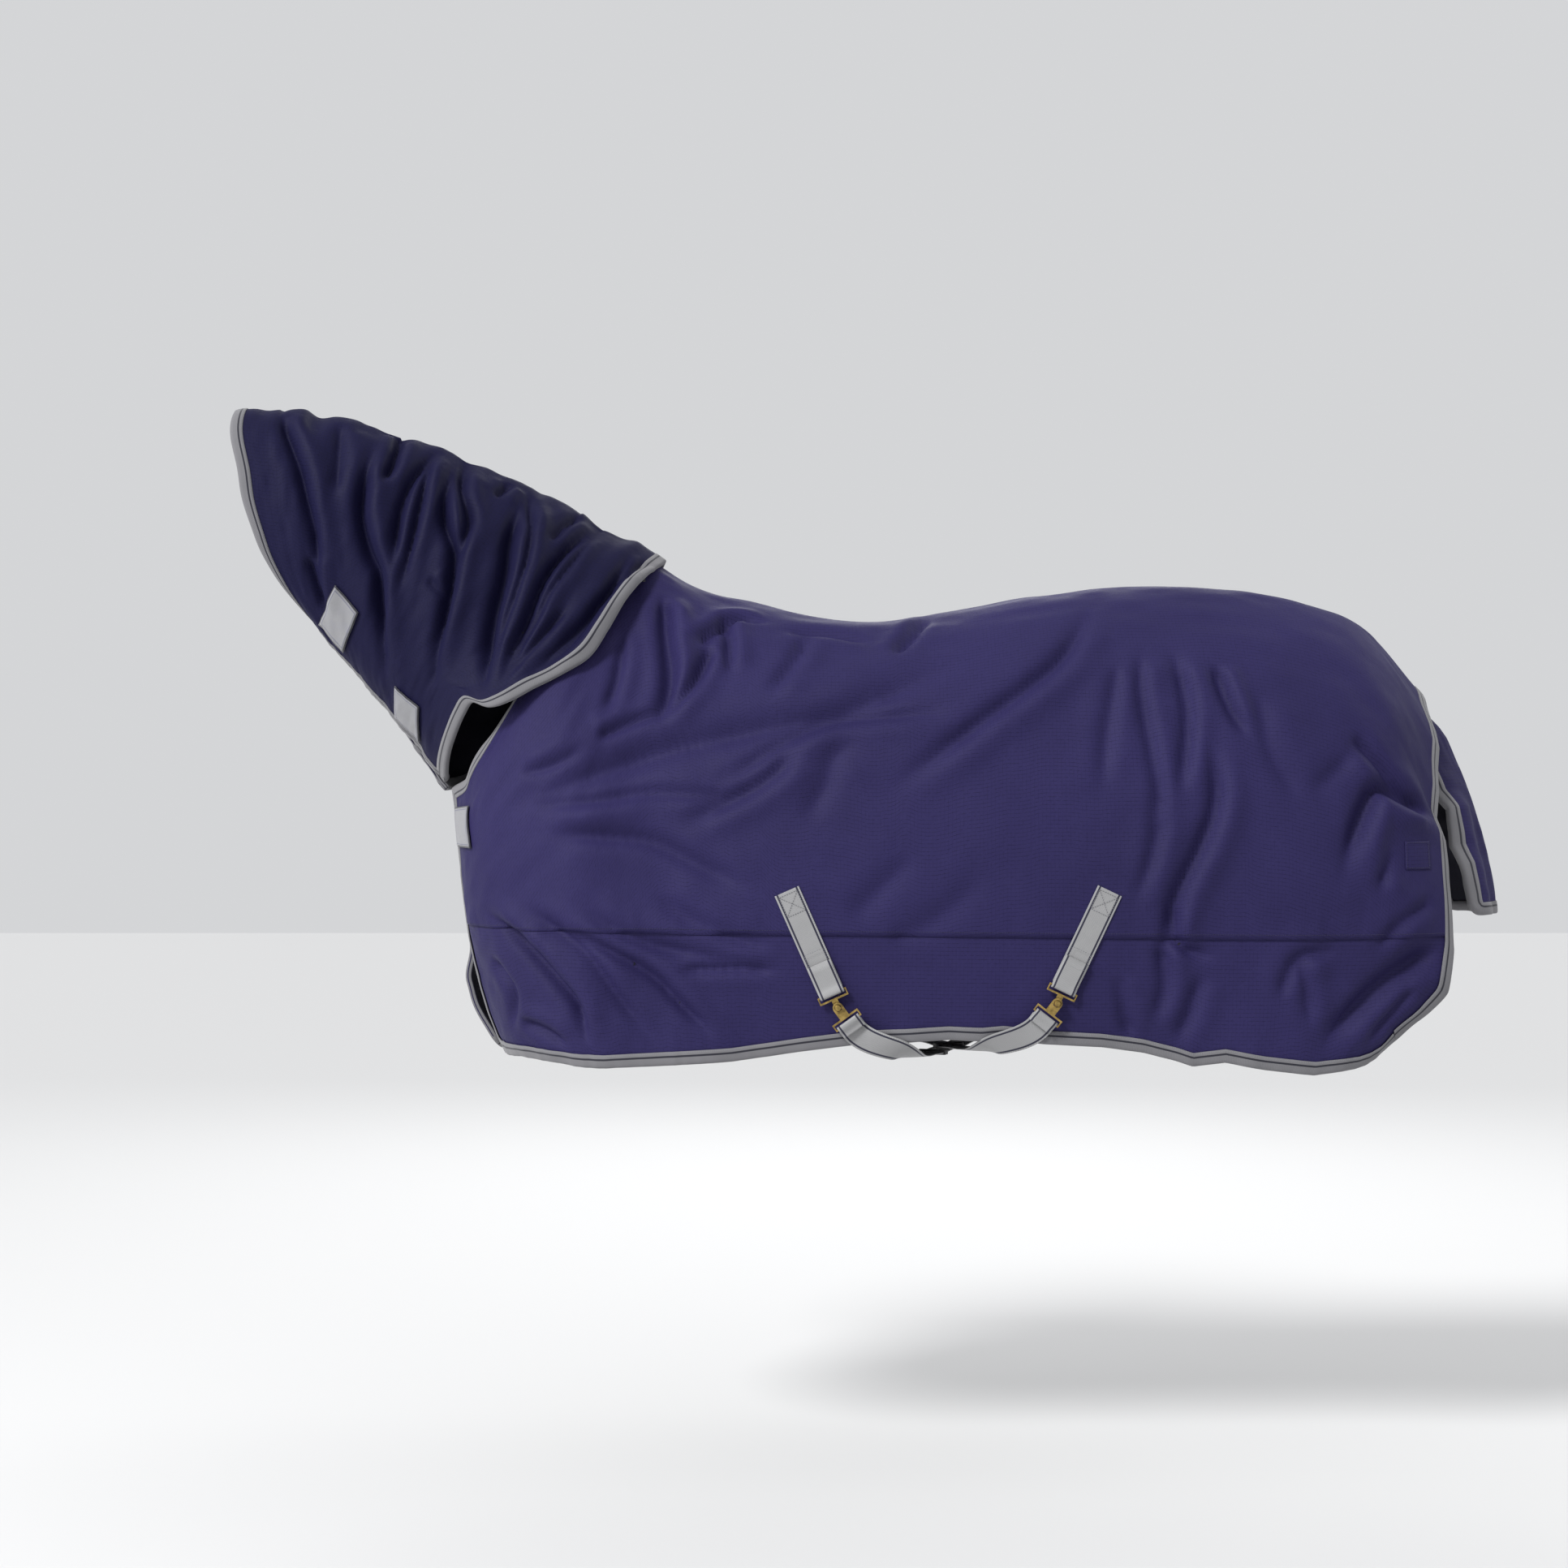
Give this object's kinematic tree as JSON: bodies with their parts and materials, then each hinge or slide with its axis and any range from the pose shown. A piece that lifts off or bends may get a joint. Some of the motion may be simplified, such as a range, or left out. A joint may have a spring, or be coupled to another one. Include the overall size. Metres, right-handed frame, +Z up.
{
  "type": "turnout rug",
  "caption": "Horse's turnout rug with neck cover and tail flap, level skirt seam, crossed belly straps with hook fastenings, throat and chest tabs, and bound edges.",
  "frame": {"origin": "on the centre plane at the withers, where the rug's inner face rests on the horse", "axes": "+X towards the tail, -Y towards the near side, +Z up"},
  "size_m": [2.5317, 0.7184, 1.3003],
  "materials": {
    "shell": "ripstop navy polyester, proofed",
    "neck_shell": "ripstop navy polyester, proofed",
    "lining": "smooth dark nylon lining",
    "binding": "woven grey tape with a dark line",
    "webbing": "grey webbing with dark edge lines",
    "tape": "dark touch tape",
    "label": "plain woven patch",
    "brass": "dull brass plating",
    "slider": "matt black"
  },
  "bodies": {
    "root": {"body_panel_near": "shell", "body_skirt_near": "shell", "body_lining_near": "lining", "chest_binding_near": "binding", "neckline_binding_near": "binding", "rear_edge_binding_near": "binding", "hem_binding_near": "binding", "body_panel_off": "shell", "body_skirt_off": "shell", "body_lining_off": "lining", "chest_binding_off": "binding", "neckline_binding_off": "binding", "rear_edge_binding_off": "binding", "hem_binding_off": "binding", "webbing_front_near": "webbing", "webbing_front_off": "webbing", "webbing_loop_front": "webbing", "strap_loop_front": "webbing", "belly_strap_front": "webbing", "webbing_rear_near": "webbing", "webbing_rear_off": "webbing", "webbing_loop_rear": "webbing", "strap_loop_rear": "webbing", "belly_strap_rear": "webbing", "withers_tape_near": "tape", "withers_tape_off": "tape", "rear_patch_near": "shell", "ring_loop_near": "webbing", "rear_patch_off": "shell", "ring_loop_off": "webbing"},
    "neck_cover": {"neck_cover_near": "neck_shell", "neck_lining_near": "lining", "neck_binding_near": "binding", "neck_cover_off": "neck_shell", "neck_lining_off": "lining", "neck_binding_off": "binding"},
    "throat_tab_front": {"throat_tab_front": "tape", "throat_tab_front_label": "label"},
    "throat_tab_rear": {"throat_tab_rear": "tape", "throat_tab_rear_label": "label"},
    "chest_tab": {"chest_tab": "tape", "chest_tab_label": "label"},
    "tail_flap": {"tail_flap": "shell", "tail_flap_lining": "lining", "tail_flap_binding": "binding"},
    "hook_front": {"hook_front": "brass"},
    "hook_rear": {"hook_rear": "brass"},
    "slot_plate_front": {"slot_plate_front": "brass"},
    "slot_plate_rear": {"slot_plate_rear": "brass"},
    "strap_slider_front": {"strap_slider_front": "slider"},
    "strap_slider_rear": {"strap_slider_rear": "slider"},
    "leg_ring_near": {"leg_ring_near": "brass"},
    "leg_ring_off": {"leg_ring_off": "brass"}
  },
  "joints": [
    {"name": "neck_cover_raise", "type": "hinge", "parent": "root", "child": "neck_cover", "pos_m": [-0.1274, 0, 0.07298], "axis": [0, 1, 0], "range_deg": [0, 12]},
    {"name": "throat_tab_front_peel", "type": "hinge", "parent": "neck_cover", "child": "throat_tab_front", "pos_m": [-0.81963, -0.04222, -0.04704], "axis": [0.6198, 0.1778, -0.7644], "range_deg": [0, 95]},
    {"name": "throat_tab_rear_peel", "type": "hinge", "parent": "neck_cover", "child": "throat_tab_rear", "pos_m": [-0.67215, -0.01463, -0.23012], "axis": [0.6304, 0.0185, -0.776], "range_deg": [0, 95]},
    {"name": "chest_tab_peel", "type": "hinge", "parent": "root", "child": "chest_tab", "pos_m": [-0.55492, -0.00551, -0.40774], "axis": [0.1066, -0.0042, -0.9943], "range_deg": [0, 80]},
    {"name": "tail_flap_lift", "type": "hinge", "parent": "root", "child": "tail_flap", "pos_m": [1.41356, 0, -0.20934], "axis": [0, -1, 0], "range_deg": [0, 60]},
    {"name": "hook_front_tip", "type": "hinge", "parent": "root", "child": "hook_front", "pos_m": [0.19833, -0.35234, -0.75769], "axis": [-0.9147, 0.016, -0.4038], "range_deg": [-2.5, 2.5]},
    {"name": "slot_plate_front_tip", "type": "hinge", "parent": "root", "child": "slot_plate_front", "pos_m": [0.23029, -0.35574, -0.81221], "axis": [-0.8107, 0.0276, -0.5848], "range_deg": [-2.5, 2.5]},
    {"name": "strap_slider_front_slide", "type": "slide", "parent": "root", "child": "strap_slider_front", "axis": [0.2989, 0.9543, -0.0083], "range_m": [-0.02, 0.02]},
    {"name": "hook_rear_tip", "type": "hinge", "parent": "root", "child": "hook_rear", "pos_m": [0.63659, -0.35213, -0.74961], "axis": [-0.9021, -0.0284, 0.4306], "range_deg": [-2.5, 2.5]},
    {"name": "slot_plate_rear_tip", "type": "hinge", "parent": "root", "child": "slot_plate_rear", "pos_m": [0.60308, -0.35598, -0.80316], "axis": [-0.7927, -0.0386, 0.6084], "range_deg": [-2.5, 2.5]},
    {"name": "strap_slider_rear_slide", "type": "slide", "parent": "root", "child": "strap_slider_rear", "axis": [-0.2976, 0.9546, -0.0083], "range_m": [-0.02, 0.02]},
    {"name": "leg_ring_near_swing", "type": "hinge", "parent": "root", "child": "leg_ring_near", "pos_m": [1.30242, -0.2508, -0.50112], "axis": [-0.8625, -0.5061, 0], "range_deg": [-45, 0]},
    {"name": "leg_ring_off_swing", "type": "hinge", "parent": "root", "child": "leg_ring_off", "pos_m": [1.30242, 0.2508, -0.50112], "axis": [0.8625, -0.5061, 0], "range_deg": [-45, 0]}
  ]
}
